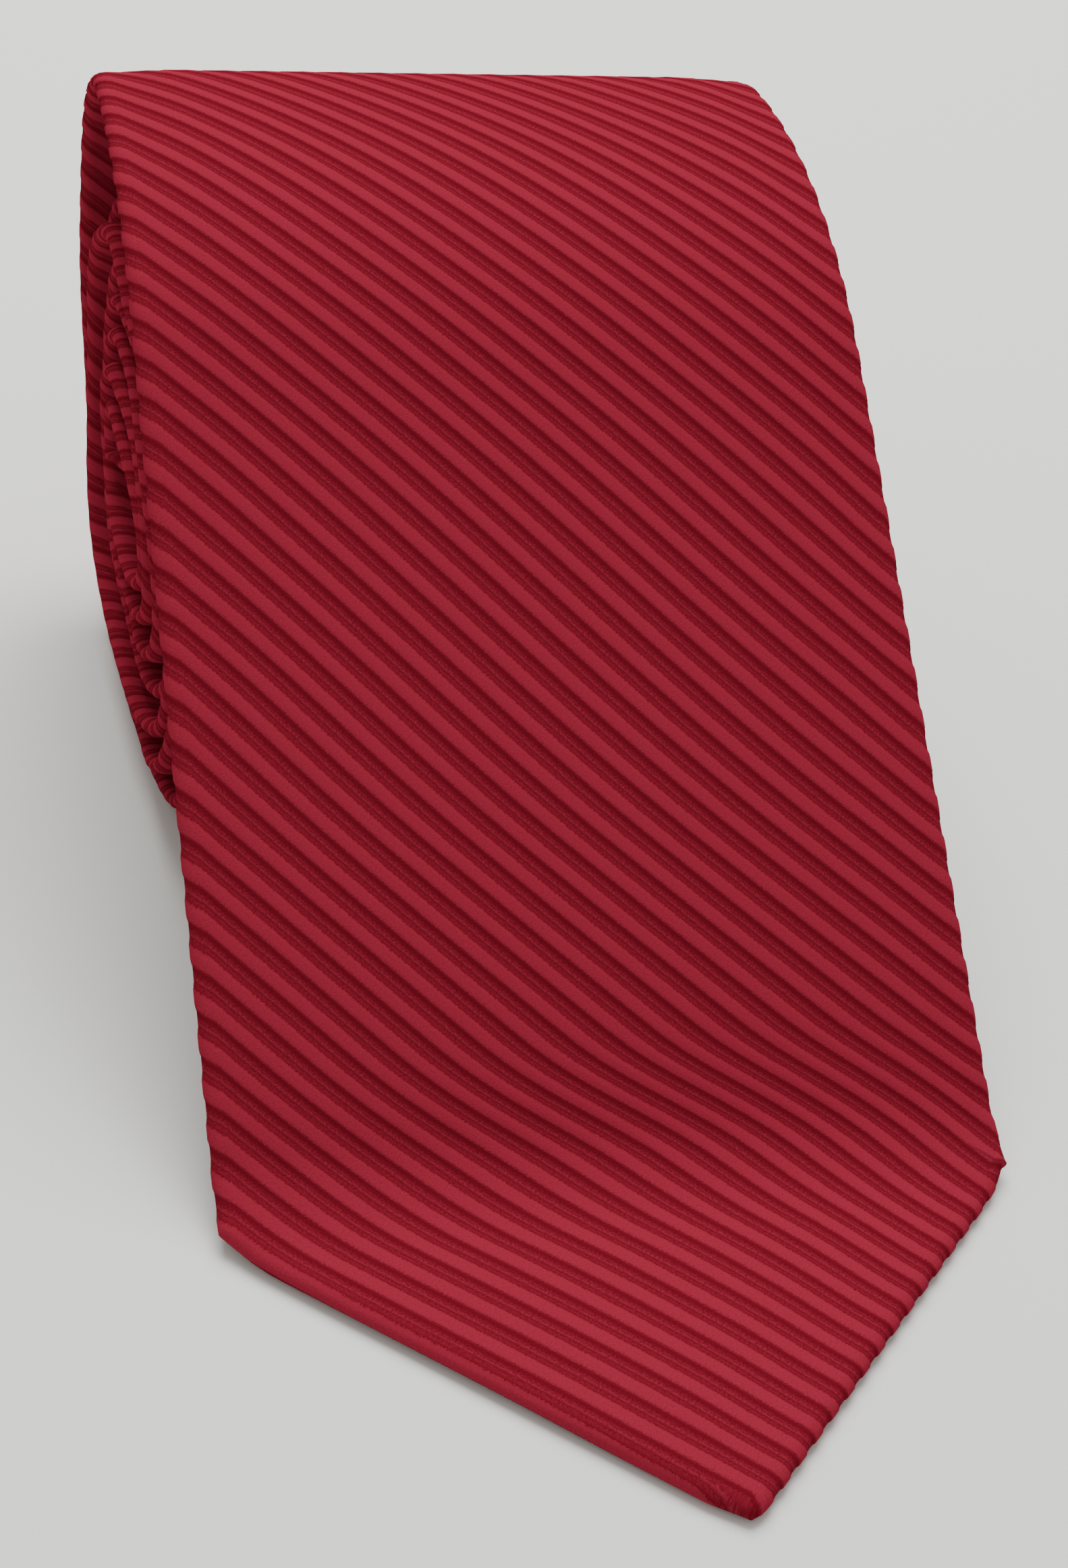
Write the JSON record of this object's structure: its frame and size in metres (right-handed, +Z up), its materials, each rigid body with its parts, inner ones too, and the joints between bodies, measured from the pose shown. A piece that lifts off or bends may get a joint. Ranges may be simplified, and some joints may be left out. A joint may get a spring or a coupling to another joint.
{
  "type": "necktie",
  "caption": "Rolled necktie in ribbed cloth, its pointed front blade coming over the top of the roll and down a ramp to the surface.",
  "frame": {"origin": "on the surface the roll stands on, under the middle of the whole tie", "axes": "+X across the tie along the roll's axis, -Y towards the blade's point, +Z up"},
  "size_m": [0.085, 0.1828, 0.077],
  "materials": {
    "ribbed_silk": "ribbed silk and polyester, satin bands between dark woven flanks",
    "wool_interlining": "matt brushed wool",
    "tipping_satin": "smooth satin lining",
    "sewing_thread": "twisted thread",
    "label_satin": "blank woven satin",
    "care_satin": "blank printed-satin tape"
  },
  "bodies": {
    "roll": {"upper_blade_shell": "ribbed_silk", "neck_shell": "ribbed_silk", "tail_shell": "ribbed_silk", "front_join_stitch": "sewing_thread", "tail_join_stitch": "sewing_thread", "upper_interlining": "wool_interlining", "tail_interlining": "wool_interlining", "tail_tipping": "tipping_satin", "slip_stitch": "sewing_thread", "tail_bar_tack": "sewing_thread", "keeper_loop": "ribbed_silk", "keeper_tack_left": "sewing_thread", "keeper_tack_right": "sewing_thread", "maker_label": "label_satin", "label_stitch_left": "sewing_thread", "label_stitch_right": "sewing_thread", "care_label": "care_satin"},
    "blade": {"blade_shell": "ribbed_silk", "blade_interlining": "wool_interlining", "front_tipping": "tipping_satin", "front_bar_tack": "sewing_thread", "blade_slip_stitch": "sewing_thread"}
  },
  "joints": [
    {"name": "blade_lift", "type": "hinge", "parent": "roll", "child": "blade", "pos_m": [0, 0.02631, 0.06247], "axis": [-1, 0, 0], "range_deg": [0, 80]}
  ]
}
